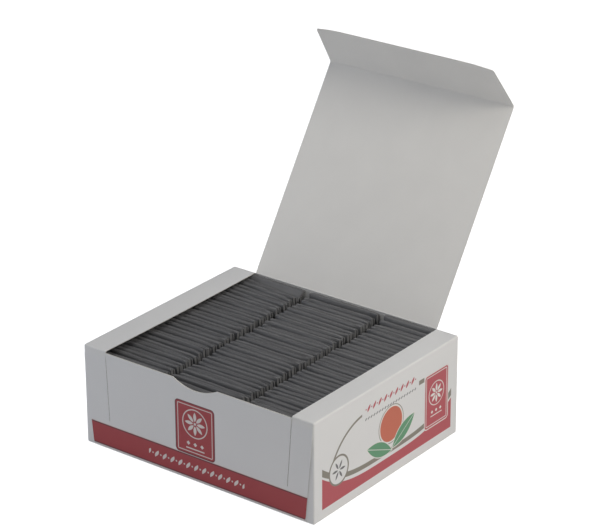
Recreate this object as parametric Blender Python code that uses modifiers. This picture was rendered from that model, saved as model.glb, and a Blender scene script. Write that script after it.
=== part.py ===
# Open family tea carton with three rows of tea bags in paper envelopes.
# Metres, +Z up. The origin is the centre of the carton's base and the front faces -Y.

import math
import random

import bmesh
import bpy

# The carton's outside and its board
WIDTH = 0.200
DEPTH = 0.168
HEIGHT = 0.076
BOARD = 0.0005
FOLD_RADIUS = 0.0012
FOLD_STEPS = 2

# The torn-out top leaves a strip along each side
STRIP_LEFT = 0.020
STRIP_RIGHT = 0.018
RIM_DROP = 0.0014
BACK_RIM_DROP = 0.0007

# Thumb notch in the front wall, an arc of a circle
NOTCH_X = -0.0004
NOTCH_HALF_CHORD = 0.0190
NOTCH_DEPTH = 0.0052
NOTCH_SIDES = 96

# Outer front panel, glued on the front wall and narrower towards its foot
PANEL_TOP_INSET = 0.0009
PANEL_FOOT_INSET = 0.0070
PANEL_STRAIGHT_TO = 0.066
PANEL_FOOT_Z = 0.0008

# Lid and tuck flap, hinged on creases in the middle of the board
LID_OPEN = math.radians(123.4)
LID_LENGTH = 0.1663
LID_SIDE_GAP = 0.0004
CREASE_GAP = 0.0006
FLAP_LENGTH = 0.0393
FLAP_TAPER = 0.0037
FLAP_FOLD = math.radians(66.0)

# Envelopes: 60 mm wide, a fat belly below and a thin folded ridge on top
ENVELOPE_WIDTH = 0.0600
ENVELOPE_FLOOR_GAP = 0.0003
BELLY_THICKNESS = 0.0051
BELLY_TOP = 0.044
RIDGE_THICKNESS = 0.0024
RIDGE_ROUND = 0.0011
RIDGE_FLAT = 0.0010
ROW_COUNT = 32
ROW_CENTRES = {"bags_left": -0.0640, "bags_middle": 0.0023, "bags_right": 0.0686}
ROW_SLIP = {"bags_left": 0.0008, "bags_middle": 0.0008, "bags_right": 0.0003}
BELLY_FRONT, BELLY_BACK = -0.0729, 0.0804
RIDGE_FRONT, RIDGE_BACK = -0.0768, 0.0814
RIDGE_TOP_FRONT, RIDGE_TOP_BACK = 0.0692, 0.0728
RIDGE_HEIGHT_SLIP = 0.0006
RIDGE_LEAN_SLIP = 0.0003
LEANING_TOP = 0.0751
LEANING_RIDGE_Y = 0.0820
LEANING_BELLY_Y = 0.0806
LEANING_THICKNESS = 0.0044
SEED = 12

# Colour and roughness of each finish
FINISHES = {
    "board_outside": ((0.56, 0.57, 0.58), 0.55),
    "board_inside": ((0.60, 0.59, 0.57), 0.75),
    "envelope_paper": ((0.16, 0.16, 0.165), 0.6),
}


def clear_scene():
    for obj in list(bpy.data.objects):
        bpy.data.objects.remove(obj, do_unlink=True)


def new_collection(name, hidden=False):
    collection = bpy.data.collections.new(name)
    bpy.context.scene.collection.children.link(collection)
    collection.hide_render = hidden
    return collection


def move_to(obj, collection):
    for old in list(obj.users_collection):
        old.objects.unlink(obj)
    collection.objects.link(obj)


def finish(name):
    colour, roughness = FINISHES[name]
    material = bpy.data.materials.get(name) or bpy.data.materials.new(name)
    material.use_nodes = True
    shader = material.node_tree.nodes["Principled BSDF"]
    shader.inputs["Base Color"].default_value = (*colour, 1.0)
    shader.inputs["Roughness"].default_value = roughness
    shader.inputs["Metallic"].default_value = 0.0
    return material


def box(name, low, high, collection):
    """A box between two corners, with its scale applied."""
    centre = [(a + b) / 2 for a, b in zip(low, high)]
    bpy.ops.mesh.primitive_cube_add(size=1, location=centre)
    obj = bpy.context.active_object
    obj.name = name
    obj.scale = [b - a for a, b in zip(low, high)]
    bpy.ops.object.transform_apply(location=False, rotation=False, scale=True)
    move_to(obj, collection)
    return obj


def round_edges(obj, radius):
    bevel = obj.modifiers.new("folds", "BEVEL")
    bevel.width = radius
    bevel.segments = FOLD_STEPS
    bevel.limit_method = "ANGLE"


def boolean(obj, other, operation):
    modifier = obj.modifiers.new(f"{operation.lower()} {other.name}", "BOOLEAN")
    modifier.operation = operation
    modifier.solver = "EXACT"
    modifier.object = other


def as_cutter(obj):
    obj.hide_render = True
    obj.display_type = "WIRE"
    return obj


def plate(name, outline, thickness, collection):
    """A flat outline in its own XY plane, as a closed plate around z = 0."""
    curve = bpy.data.curves.new(name, "CURVE")
    curve.dimensions = "2D"
    curve.fill_mode = "BOTH"
    curve.extrude = thickness / 2
    spline = curve.splines.new("POLY")
    spline.points.add(len(outline) - 1)
    for point, (x, y) in zip(spline.points, outline):
        point.co = (x, y, 0.0, 1.0)
    spline.use_cyclic_u = True
    guide = bpy.data.objects.new(f"{name} outline", curve)
    collection.objects.link(guide)
    bpy.context.view_layer.update()
    evaluated = guide.evaluated_get(bpy.context.evaluated_depsgraph_get())
    mesh = bpy.data.meshes.new_from_object(evaluated)
    welded = bmesh.new()
    welded.from_mesh(mesh)
    bmesh.ops.remove_doubles(welded, verts=welded.verts, dist=1e-6)
    bmesh.ops.recalc_face_normals(welded, faces=welded.faces)
    welded.to_mesh(mesh)
    welded.free()
    bpy.data.objects.remove(guide, do_unlink=True)
    obj = bpy.data.objects.new(name, mesh)
    collection.objects.link(obj)
    return obj


def carton(parts, cutters):
    """The tray: base, four walls, two top strips, notched front and the outer front panel."""
    front = -DEPTH / 2
    wall_front = front + BOARD
    back = DEPTH / 2
    half = WIDTH / 2
    tray = box("tray", (-half, wall_front, 0.0), (half, back, HEIGHT), parts)
    round_edges(tray, FOLD_RADIUS)

    straight = PANEL_STRAIGHT_TO
    top, foot = half - PANEL_TOP_INSET, half - PANEL_FOOT_INSET
    high = HEIGHT - FOLD_RADIUS
    outline = [
        (-foot, PANEL_FOOT_Z),
        (foot, PANEL_FOOT_Z),
        (top, straight),
        (top, high),
        (-top, high),
        (-top, straight),
    ]
    panel = plate("front_panel", outline, 2 * BOARD, cutters)
    panel.rotation_euler.x = math.pi / 2
    panel.location.y = front + BOARD
    boolean(tray, as_cutter(panel), "UNION")

    low = (-half + BOARD, wall_front + BOARD, BOARD)
    cavity = box("cavity", low, (half - BOARD, back - BOARD, HEIGHT - BOARD), cutters)
    round_edges(cavity, FOLD_RADIUS - BOARD)
    boolean(tray, as_cutter(cavity), "DIFFERENCE")

    left, right = -half + STRIP_LEFT, half - STRIP_RIGHT
    above = HEIGHT + 4 * BOARD
    mouth_back = back - BOARD - FOLD_RADIUS
    mouth = box("mouth", (left, front - BOARD, HEIGHT - RIM_DROP), (right, mouth_back, above), cutters)
    boolean(tray, as_cutter(mouth), "DIFFERENCE")
    back_low = (left, mouth_back - BOARD, HEIGHT - BACK_RIM_DROP)
    back_rim = box("back_rim", back_low, (right, back + BOARD, above), cutters)
    boolean(tray, as_cutter(back_rim), "DIFFERENCE")

    radius = (NOTCH_HALF_CHORD**2 + NOTCH_DEPTH**2) / (2 * NOTCH_DEPTH)
    notch_z = HEIGHT - RIM_DROP - NOTCH_DEPTH + radius
    bpy.ops.mesh.primitive_cylinder_add(
        vertices=NOTCH_SIDES,
        radius=radius,
        depth=8 * BOARD,
        location=(NOTCH_X, wall_front, notch_z),
        rotation=(math.pi / 2, 0.0, 0.0),
    )
    notch = bpy.context.active_object
    notch.name = "notch"
    move_to(notch, cutters)
    boolean(tray, as_cutter(notch), "DIFFERENCE")
    tray.data.materials.append(finish("board_outside"))
    return tray


def hinge(name, place, angle, parts, parent=None):
    """An empty on a crease, whose local +Y is the panel that swings from it."""
    empty = bpy.data.objects.new(name, None)
    empty.empty_display_size = 0.01
    empty.location = place
    empty.rotation_euler.x = angle
    empty.parent = parent
    parts.objects.link(empty)
    return empty


def lid_and_flap(parts):
    """The lid swings on the back wall's top crease and its tuck flap on the lid's far crease."""
    left = -WIDTH / 2 + STRIP_LEFT + LID_SIDE_GAP
    right = WIDTH / 2 - STRIP_RIGHT - LID_SIDE_GAP
    place = (0.0, DEPTH / 2 - BOARD / 2, HEIGHT - BOARD / 2)
    lid_hinge = hinge("lid_hinge", place, math.pi - LID_OPEN, parts)
    near, far = CREASE_GAP, LID_LENGTH - CREASE_GAP
    lid = plate("lid", [(left, near), (right, near), (right, far), (left, far)], BOARD, parts)
    lid.parent = lid_hinge

    flap_crease = hinge("flap_crease", (0.0, LID_LENGTH, 0.0), FLAP_FOLD, parts, lid_hinge)
    outline = [
        (left, near),
        (right, near),
        (right - FLAP_TAPER, FLAP_LENGTH),
        (left + FLAP_TAPER, FLAP_LENGTH),
    ]
    flap = plate("lid_flap", outline, BOARD, parts)
    flap.parent = flap_crease
    for panel in (lid, flap):
        panel.data.materials.append(finish("board_inside"))


def envelope(name, x, belly_y, ridge_y, ridge_z, collection, thickness=BELLY_THICKNESS):
    """One envelope, standing: its section in Y and Z carried along X."""
    belly, ridge = thickness / 2, RIDGE_THICKNESS / 2
    foot = BOARD + ENVELOPE_FLOOR_GAP
    outline = [
        (belly_y - belly, foot),
        (belly_y + belly, foot),
        (belly_y + belly, BELLY_TOP),
        (ridge_y + ridge, ridge_z - RIDGE_ROUND),
        (ridge_y + RIDGE_FLAT / 2, ridge_z),
        (ridge_y - RIDGE_FLAT / 2, ridge_z),
        (ridge_y - ridge, ridge_z - RIDGE_ROUND),
        (belly_y - belly, BELLY_TOP),
    ]
    obj = plate(name, outline, ENVELOPE_WIDTH, collection)
    # The section's X and Y become the world's Y and Z.
    obj.rotation_euler = (math.pi / 2, 0.0, math.pi / 2)
    obj.location.x = x
    return obj


def bag_row(name, count, draw, parts):
    """A row of envelopes, fused where their bellies press together."""
    members = bpy.data.collections.new(f"{name} envelopes")
    bpy.context.scene.collection.children.link(members)
    for i in range(count):
        share = i / (ROW_COUNT - 1)
        x = ROW_CENTRES[name] + draw.uniform(-1, 1) * ROW_SLIP[name]
        belly_y = BELLY_FRONT + share * (BELLY_BACK - BELLY_FRONT)
        ridge_y = RIDGE_FRONT + share * (RIDGE_BACK - RIDGE_FRONT)
        ridge_y += draw.uniform(-1, 1) * RIDGE_LEAN_SLIP
        ridge_z = RIDGE_TOP_FRONT + share * (RIDGE_TOP_BACK - RIDGE_TOP_FRONT)
        ridge_z += draw.uniform(-1, 1) * RIDGE_HEIGHT_SLIP
        envelope(f"{name} envelope {i}", x, belly_y, ridge_y, ridge_z, members)
    first, *others = list(members.objects)
    move_to(first, parts)
    fuse = first.modifiers.new("fuse", "BOOLEAN")
    fuse.operation = "UNION"
    fuse.operand_type = "COLLECTION"
    fuse.collection = members
    fuse.solver = "EXACT"
    bpy.context.view_layer.update()
    evaluated = first.evaluated_get(bpy.context.evaluated_depsgraph_get())
    mesh = bpy.data.meshes.new_from_object(evaluated)
    row = bpy.data.objects.new(name, mesh)
    row.matrix_world = first.matrix_world
    parts.objects.link(row)
    for obj in [first, *others]:
        bpy.data.objects.remove(obj, do_unlink=True)
    bpy.data.collections.remove(members)
    mesh.materials.append(finish("envelope_paper"))
    return row


def tea_bags(parts):
    """Two full rows, and a left row whose last envelope leans on the back wall."""
    draw = random.Random(SEED)
    bag_row("bags_left", ROW_COUNT - 1, draw, parts)
    bag_row("bags_middle", ROW_COUNT, draw, parts)
    bag_row("bags_right", ROW_COUNT, draw, parts)
    x = ROW_CENTRES["bags_left"]
    places = (x, LEANING_BELLY_Y, LEANING_RIDGE_Y, LEANING_TOP)
    leaning = envelope("leaning_bag", *places, parts, LEANING_THICKNESS)
    leaning.data.materials.append(finish("envelope_paper"))


def main():
    clear_scene()
    parts = new_collection("tea_carton")
    cutters = new_collection("cutters", hidden=True)
    carton(parts, cutters)
    lid_and_flap(parts)
    tea_bags(parts)


main()
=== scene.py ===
# An open family tea carton: a white board box whose perforated top is lifted as a lid, over three rows of
# tea bags in grey paper envelopes. The origin is the middle of the base and the front looks along -Y.
# Shapes are worked out in millimetres and become metres where their mesh is made.

import math
import random

import bpy
import numpy as np
from mathutils import Matrix


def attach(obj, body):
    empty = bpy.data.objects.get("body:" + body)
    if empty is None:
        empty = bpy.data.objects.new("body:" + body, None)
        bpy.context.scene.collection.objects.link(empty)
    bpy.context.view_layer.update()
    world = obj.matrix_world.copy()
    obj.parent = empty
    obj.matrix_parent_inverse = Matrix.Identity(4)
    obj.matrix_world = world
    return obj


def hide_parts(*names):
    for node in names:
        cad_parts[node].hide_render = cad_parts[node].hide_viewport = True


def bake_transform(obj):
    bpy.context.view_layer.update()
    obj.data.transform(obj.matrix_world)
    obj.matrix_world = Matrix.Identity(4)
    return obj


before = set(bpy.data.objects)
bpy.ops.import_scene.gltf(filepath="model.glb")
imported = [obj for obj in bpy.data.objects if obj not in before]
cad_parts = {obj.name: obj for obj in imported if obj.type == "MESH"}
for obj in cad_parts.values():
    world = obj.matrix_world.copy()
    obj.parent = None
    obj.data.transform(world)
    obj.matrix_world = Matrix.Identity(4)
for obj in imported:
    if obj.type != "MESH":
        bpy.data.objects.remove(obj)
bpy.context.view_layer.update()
mm = 0.001
scene = bpy.context.scene


# Smooth step from 0 at the low value to 1 at the high one.
def ease(value, low, high):
    share = np.clip((value - low) / (high - low), 0.0, 1.0)
    return share * share * (3.0 - 2.0 * share)


# Corner numbers of every cell of a grid of points, anticlockwise where rows run up and columns run right.
def gridQuads(rows, columns):
    corner = np.arange(rows - 1)[:, None] * columns + np.arange(columns - 1)[None, :]
    return np.stack([corner, corner + 1, corner + columns + 1, corner + columns], axis=-1).reshape(-1, 4)


# Grid lines between two folded edges: over each fold they crowd so that every step turns the board equally.
def foldedLines(low, high, radius, between, steps=4):
    turn = radius * (1.0 - np.tan(np.linspace(math.pi / 4, 0.0, steps + 1)))
    between = np.asarray(between, float)
    inner = between[(between > low + radius + 0.05) & (between < high - radius - 0.05)]
    return np.concatenate([low + turn, inner, high - turn[::-1]])


# Two faces of a sheet and the narrow sides that join them. A side stands on every edge that only one cell
# of the sheet uses, so holes and slits close by themselves.
def sheetMesh(name, front, back, quads, finishes, frontFinish=0, backFinish=1, edgeFinish=2,
              uv=None, marks=None, sharpAngle=38.0):
    used, quads = np.unique(quads, return_inverse=True)
    quads = quads.reshape(-1, 4)
    front = front[used]
    back = back[used]
    count = len(used)
    edges = quads[:, [[0, 1], [1, 2], [2, 3], [3, 0]]].reshape(-1, 2)
    key = edges.min(axis=1) * count + edges.max(axis=1)
    _, where, times = np.unique(key, return_inverse=True, return_counts=True)
    rim = edges[times[where.reshape(-1)] == 1]
    sides = np.stack([rim[:, 1], rim[:, 0], rim[:, 0] + count, rim[:, 1] + count], axis=1)
    faces = np.concatenate([quads, quads[:, ::-1] + count, sides])
    finish = np.concatenate([
        np.broadcast_to(frontFinish, len(quads)),
        np.broadcast_to(backFinish, len(quads)),
        np.broadcast_to(edgeFinish, len(sides)),
    ])
    points = np.concatenate([front, back]) * mm
    mesh = bpy.data.meshes.new(name)
    mesh.from_pydata(points.tolist(), [], faces.tolist())
    for material in finishes:
        mesh.materials.append(material)
    mesh.polygons.foreach_set("material_index", finish.astype(np.int32))
    mesh.polygons.foreach_set("use_smooth", np.ones(len(faces), bool))
    if uv is not None:
        layer = mesh.uv_layers.new(name="sheet")
        layer.data.foreach_set("uv", np.concatenate([uv[used], uv[used]])[faces.ravel()].ravel())
    for label, values in (marks or {}).items():
        mark = mesh.attributes.new(label, "FLOAT", "POINT")
        mark.data.foreach_set("value", np.concatenate([values[used], values[used]]).astype(np.float32))
    mesh.update()
    mesh.set_sharp_from_angle(angle=math.radians(sharpAngle))
    obj = bpy.data.objects.new(name, mesh)
    scene.collection.objects.link(obj)
    return obj


# A link where the value is another node's socket, and a plain number or colour otherwise.
def feed(tree, socket, value):
    if isinstance(value, bpy.types.NodeSocket):
        tree.links.new(value, socket)
    else:
        socket.default_value = value


def calc(tree, operation, *values, clamp=False):
    node = tree.nodes.new("ShaderNodeMath")
    node.operation = operation
    node.use_clamp = clamp
    for socket, value in zip(node.inputs, values):
        feed(tree, socket, value)
    return node.outputs[0]


# The arithmetic that the prints are drawn with, one node each.
def plus(tree, a, b):
    return calc(tree, "ADD", a, b)


def minus(tree, a, b):
    return calc(tree, "SUBTRACT", a, b)


def times(tree, a, b, clamp=False):
    return calc(tree, "MULTIPLY", a, b, clamp=clamp)


def scaled(tree, value, factor, offset, clamp=False):
    return calc(tree, "MULTIPLY_ADD", value, factor, offset, clamp=clamp)


def absolute(tree, value):
    return calc(tree, "ABSOLUTE", value)


def larger(tree, a, b):
    return calc(tree, "MAXIMUM", a, b)


def smaller(tree, a, b):
    return calc(tree, "MINIMUM", a, b)


# How far a value lies past a half width to either side of nought.
def beyond(tree, value, half):
    return minus(tree, absolute(tree, value), half)


# Distance of two coordinates from a centre.
def lengthOf(tree, a, b):
    return calc(tree, "SQRT", plus(tree, times(tree, a, a), times(tree, b, b)))


# Mask of the places where a distance in mm is below nought, with an edge a third of a millimetre soft.
def inside(tree, distance):
    return scaled(tree, distance, -3.0, 0.5, clamp=True)


# Mask of a line of a given half width along the outline where the distance is nought.
def outline(tree, distance, halfWidth):
    return inside(tree, beyond(tree, distance, halfWidth))


# A leaf, pointed at both ends: across its length it is as wide as a parabola.
def leafDistance(tree, along, across, halfLength, halfWidth):
    share = calc(tree, "DIVIDE", along, halfLength)
    width = scaled(tree, times(tree, share, share), -halfWidth, halfWidth)
    return beyond(tree, across, width)


# Distance from a box of given half sizes round nought.
def boxDistance(tree, a, b, halfA, halfB):
    return larger(tree, beyond(tree, a, halfA), beyond(tree, b, halfB))


# Leaves in a ring: the angle is folded into one of them, which stands at a given distance from the middle.
def leafRing(tree, a, b, radius, count, distance, halfLength, halfWidth):
    turn = calc(tree, "PINGPONG", plus(tree, calc(tree, "ARCTAN2", b, a), math.pi), math.pi / count)
    along = minus(tree, times(tree, radius, calc(tree, "COSINE", turn)), distance)
    return leafDistance(tree, along, times(tree, radius, calc(tree, "SINE", turn)), halfLength, halfWidth)


# Two coordinates as seen from a point.
def fromPoint(tree, a, b, point):
    return minus(tree, a, point[0]), minus(tree, b, point[1])


def over(tree, under, mask, ink):
    node = tree.nodes.new("ShaderNodeMix")
    node.data_type = "RGBA"
    feed(tree, node.inputs["Factor"], mask)
    feed(tree, node.inputs["A"], under)
    feed(tree, node.inputs["B"], ink)
    return node.outputs["Result"]


# An ink laid on where a distance is below nought.
def stamp(tree, under, distance, ink):
    return over(tree, under, inside(tree, distance), inks[ink])


def anyOf(tree, *masks):
    result = masks[0]
    for mask in masks[1:]:
        result = larger(tree, result, mask)
    return result


def newGroup(name, inputs, outputs):
    group = bpy.data.node_groups.new(name, "ShaderNodeTree")
    for label, kind, value in inputs:
        socket = group.interface.new_socket(label, in_out="INPUT", socket_type=kind)
        if value is not None:
            socket.default_value = value
    for label, kind in outputs:
        group.interface.new_socket(label, in_out="OUTPUT", socket_type=kind)
    return group, group.nodes.new("NodeGroupInput").outputs, group.nodes.new("NodeGroupOutput").inputs


def putGroup(tree, group, values):
    node = tree.nodes.new("ShaderNodeGroup")
    node.node_tree = group
    for label, value in values.items():
        feed(tree, node.inputs[label], value)
    return node.outputs


def marked(tree, label):
    node = tree.nodes.new("ShaderNodeAttribute")
    node.attribute_name = label
    return node.outputs["Fac"]


def noise(tree, vector, scale, detail=2.0, distortion=0.0):
    node = tree.nodes.new("ShaderNodeTexNoise")
    values = {"Vector": vector, "Scale": scale, "Detail": detail, "Distortion": distortion}
    for label, value in values.items():
        feed(tree, node.inputs[label], value)
    return node.outputs["Fac"]


floatSocket = "NodeSocketFloat"
vectorSocket = "NodeSocketVector"
colourSocket = "NodeSocketColor"


# Paper: a fine tooth, long fibres and slow clouds of tone. Its vector comes in millimetres.
def makePaperGrain():
    inputs = [("Vector", vectorSocket, None), ("Tooth", floatSocket, 3.0), ("Cloud", floatSocket, 0.03)]
    tree, given, result = newGroup("paperGrain", inputs, [("Tone", floatSocket), ("Height", floatSocket)])
    tooth = noise(tree, given["Vector"], given["Tooth"], detail=3.0)
    cloud = noise(tree, given["Vector"], given["Cloud"])
    stretch = tree.nodes.new("ShaderNodeVectorMath")
    stretch.operation = "MULTIPLY"
    stretch.inputs[1].default_value = (0.25, 1.0, 1.6)
    tree.links.new(given["Vector"], stretch.inputs[0])
    fibre = noise(tree, stretch.outputs[0], 2.2, distortion=0.8)
    fine = scaled(tree, tooth, 0.35, times(tree, fibre, 0.15))
    tree.links.new(scaled(tree, cloud, 0.5, fine), result["Tone"])
    height = scaled(tree, fibre, 0.5, times(tree, tooth, 0.5))
    tree.links.new(height, result["Height"])
    return tree


# A fold rubs the coating off the board and catches light: where the fold mark is 1 its gloss goes and its
# tone warms, partly rubbed coating and partly a painted highlight of the light the folds catch.
def makeFoldWearAndHighlight():
    inputs = [("Colour", colourSocket, None), ("RubAndHighlight", colourSocket, (0.8, 0.78, 0.7, 1.0)),
              ("Amount", floatSocket, 0.5), ("Tone", floatSocket, 0.5)]
    outputs = [("Colour", colourSocket), ("WornAndHighlit", floatSocket)]
    tree, given, result = newGroup("foldWearAndHighlight", inputs, outputs)
    patchy = scaled(tree, given["Tone"], 1.6, -0.3, clamp=True)
    wornAndHighlit = times(tree, times(tree, marked(tree, "foldMark"), patchy), given["Amount"], clamp=True)
    tree.links.new(over(tree, given["Colour"], wornAndHighlit, given["RubAndHighlight"]), result["Colour"])
    tree.links.new(wornAndHighlit, result["WornAndHighlit"])
    return tree


emblemShape = {
    "half": (17.2, 19.8),
    "corner": 3.0,
    "edgeLine": 0.4,
    "innerLine": 2.3,
    "ringHeight": 4.6,
    "ring": 10.6,
    "eye": 1.0,
    "petals": (8, 5.2, 3.6, 1.3),   # how many, how far out, and half their length and width
    "lozengesDown": 11.2,
    "lozenge": 1.6,
    "lozengePitch": 6.0,
    "lozengesHalf": 9.0,
    "barDown": 14.9,
    "barHalf": (8.0, 0.45),
}


# A printed plate with round corners: outline, pale inner line, a ringed rosette of eight petals, three
# lozenges and a bar. Across and Up are millimetres from its middle.
def makeEmblem():
    p = emblemShape
    inputs = [("Across", floatSocket, 0.0), ("Up", floatSocket, 0.0),
              ("Half width", floatSocket, p["half"][0]), ("Half height", floatSocket, p["half"][1])]
    outputs = [("Plate", floatSocket), ("Outline", floatSocket), ("Motif", floatSocket)]
    tree, given, result = newGroup("emblem", inputs, outputs)
    qa = beyond(tree, given["Across"], minus(tree, given["Half width"], p["corner"]))
    qb = beyond(tree, given["Up"], minus(tree, given["Half height"], p["corner"]))
    outer = lengthOf(tree, larger(tree, qa, 0.0), larger(tree, qb, 0.0))
    inner = smaller(tree, larger(tree, qa, qb), 0.0)
    plate = minus(tree, plus(tree, outer, inner), p["corner"])
    tree.links.new(inside(tree, plate), result["Plate"])
    tree.links.new(outline(tree, plus(tree, plate, p["edgeLine"]), p["edgeLine"]), result["Outline"])

    scale = calc(tree, "DIVIDE", p["half"][0], given["Half width"])
    a = times(tree, given["Across"], scale)
    b = times(tree, given["Up"], scale)
    high = minus(tree, b, p["ringHeight"])
    radius = lengthOf(tree, a, high)
    lozenges = plus(tree, calc(tree, "PINGPONG", a, p["lozengePitch"] / 2),
                    absolute(tree, plus(tree, b, p["lozengesDown"])))
    lozenges = larger(tree, minus(tree, lozenges, p["lozenge"]), beyond(tree, a, p["lozengesHalf"]))
    motif = anyOf(
        tree,
        outline(tree, plus(tree, plate, p["innerLine"]), 0.3),
        outline(tree, minus(tree, radius, p["ring"]), p["edgeLine"]),
        inside(tree, leafRing(tree, a, high, radius, *p["petals"])),
        inside(tree, minus(tree, radius, p["eye"])),
        inside(tree, lozenges),
        inside(tree, boxDistance(tree, a, plus(tree, b, p["barDown"]), *p["barHalf"])),
    )
    tree.links.new(motif, result["Motif"])
    return tree


# A row of leaning leaves with a dot between each two. Across and Up are millimetres from its middle.
def makeLeafRow():
    inputs = [("Across", floatSocket, 0.0), ("Up", floatSocket, 0.0), ("Pitch", floatSocket, 7.0),
              ("Half length", floatSocket, 42.0), ("Height", floatSocket, 2.6)]
    tree, given, result = newGroup("leafRow", inputs, [("Mask", floatSocket)])
    half = times(tree, given["Pitch"], 0.5)
    cell = calc(tree, "WRAP", given["Across"], half, times(tree, half, -1.0))
    lean = scaled(tree, given["Up"], -0.55, cell)
    share = calc(tree, "DIVIDE", given["Up"], given["Height"])
    width = times(tree, scaled(tree, times(tree, share, share), -0.2, 0.2), given["Pitch"])
    leaves = beyond(tree, lean, width)
    gap = minus(tree, half, absolute(tree, cell))
    dots = scaled(tree, given["Pitch"], -0.09, lengthOf(tree, gap, given["Up"]))
    ends = beyond(tree, given["Across"], given["Half length"])
    tree.links.new(inside(tree, larger(tree, smaller(tree, leaves, dots), ends)), result["Mask"])
    return tree


paperGrain = makePaperGrain()
foldWearAndHighlight = makeFoldWearAndHighlight()
emblem = makeEmblem()
leafRow = makeLeafRow()

# Inks and papers, as linear reflectance
inks = {
    "board": (0.80, 0.80, 0.80, 1.0),
    # Rubbed folds, warmed also as a painted highlight of the light the folds catch
    "boardRubAndHighlight": (0.84, 0.80, 0.70, 1.0),
    "frontRed": (0.425, 0.062, 0.072, 1.0),
    "frontDarkRed": (0.17, 0.045, 0.055, 1.0),
    "frontPale": (0.80, 0.74, 0.72, 1.0),
    "sideRed": (0.51, 0.098, 0.118, 1.0),
    "sidePale": (0.83, 0.81, 0.78, 1.0),
    "taupe": (0.27, 0.25, 0.21, 1.0),
    "teaOrange": (0.62, 0.165, 0.10, 1.0),
    "leafGreen": (0.13, 0.34, 0.19, 1.0),
    "lineGrey": (0.16, 0.16, 0.17, 1.0),
    # The inner board: partly its own warm uncoated tone, partly painted light, set paler than the coated
    # white to brighten the lid and the flap
    "inside": (0.86, 0.845, 0.81, 1.0),
    "insideDeep": (0.80, 0.785, 0.755, 1.0),
    "cutEdge": (0.70, 0.69, 0.66, 1.0),
    "envelope": (0.225, 0.225, 0.229, 1.0),
    "envelopeDark": (0.155, 0.155, 0.159, 1.0),
    # Painted shade between the layers of the envelopes' folded tops
    "envelopeFoldShade": (0.110, 0.110, 0.114, 1.0),
}


def inMillimetres(tree, vector):
    grow = tree.nodes.new("ShaderNodeVectorMath")
    grow.operation = "SCALE"
    grow.inputs["Scale"].default_value = 1000.0
    tree.links.new(vector, grow.inputs[0])
    return grow.outputs[0]


# Starts a material: its tree, shader, and the piece's own coordinates in millimetres.
def newFinish(name, roughness, coat=0.0):
    material = bpy.data.materials.new(name)
    material.use_nodes = True
    tree = material.node_tree
    shader = tree.nodes["Principled BSDF"]
    shader.inputs["Roughness"].default_value = roughness
    shader.inputs["Coat Weight"].default_value = coat
    shader.inputs["Coat Roughness"].default_value = 0.35
    shader.inputs["IOR"].default_value = 1.45
    where = tree.nodes.new("ShaderNodeTexCoord")
    return material, tree, shader, inMillimetres(tree, where.outputs["Object"])


def bumpFrom(tree, shader, height, strength, distance):
    bump = tree.nodes.new("ShaderNodeBump")
    bump.inputs["Strength"].default_value = strength
    bump.inputs["Distance"].default_value = distance
    feed(tree, bump.inputs["Height"], height)
    tree.links.new(bump.outputs["Normal"], shader.inputs["Normal"])


def separate(tree, vector):
    node = tree.nodes.new("ShaderNodeSeparateXYZ")
    tree.links.new(vector, node.inputs[0])
    return node.outputs


# Coordinates of the piece's own sheet UV map, in millimetres.
def sheetPlace(tree):
    node = tree.nodes.new("ShaderNodeUVMap")
    node.uv_map = "sheet"
    return separate(tree, inMillimetres(tree, node.outputs[0]))


# Coated white board: printed colour, rubbed folds warmed as a painted highlight, and a gloss that the ink
# raises and the tooth breaks.
def coatedBoard(tree, shader, vector, printed):
    grain = putGroup(tree, paperGrain, {"Vector": vector, "Tooth": 2.6, "Cloud": 0.035})
    wornAndHighlit = putGroup(tree, foldWearAndHighlight, {"Colour": printed, "RubAndHighlight": inks["boardRubAndHighlight"], "Amount": 0.30,
                                     "Tone": grain["Tone"]})
    shade = tree.nodes.new("ShaderNodeMix")
    shade.data_type = "RGBA"
    shade.blend_type = "MULTIPLY"
    feed(tree, shade.inputs["Factor"], 1.0)
    feed(tree, shade.inputs["A"], wornAndHighlit["Colour"])
    tone = tree.nodes.new("ShaderNodeCombineColor")
    for channel, spread in (("Red", 0.060), ("Green", 0.055), ("Blue", 0.045)):
        feed(tree, tone.inputs[channel], scaled(tree, grain["Tone"], spread, 1.0 - spread / 2))
    feed(tree, shade.inputs["B"], tone.outputs[0])
    tree.links.new(shade.outputs["Result"], shader.inputs["Base Color"])
    rough = scaled(tree, grain["Tone"], 0.12, 0.40)
    tree.links.new(scaled(tree, wornAndHighlit["WornAndHighlit"], 0.25, rough), shader.inputs["Roughness"])
    bumpFrom(tree, shader, grain["Height"], 0.16, 0.00004)


def plainBoard():
    material, tree, shader, vector = newFinish("coatedBoard", 0.45, 0.08)
    coatedBoard(tree, shader, vector, inks["board"])
    return material


# A leaf row laid on in an ink. The row's pitch, half length and height come in one.
def stampRow(tree, colour, across, up, row, ink):
    values = {"Across": across, "Up": up, "Pitch": row[0], "Half length": row[1], "Height": row[2]}
    return over(tree, colour, putGroup(tree, leafRow, values)["Mask"], inks[ink])


def emblemMarks(tree, across, up, half):
    values = {"Across": across, "Up": up, "Half width": half[0], "Half height": half[1]}
    return putGroup(tree, emblem, values)


# The emblem in the inks of the front.
def frontEmblem(tree, colour, across, up, half):
    marks = emblemMarks(tree, across, up, half)
    for label, ink in (("Plate", "frontRed"), ("Outline", "frontDarkRed"), ("Motif", "frontPale")):
        colour = over(tree, colour, marks[label], inks[ink])
    return colour


bandPrint = {
    "bandMiddle": 10.9,
    "bandHalfHeight": 8.4,
    "paleEdge": 0.9,
    "edgeLine": 0.45,
    "rowMiddle": -0.4,
    "row": (7.0, 42.0, 2.7),        # pitch, half length and height
    "emblemMiddle": (-0.9, 39.6),
    "emblemHalf": (17.2, 19.8),
}


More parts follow.
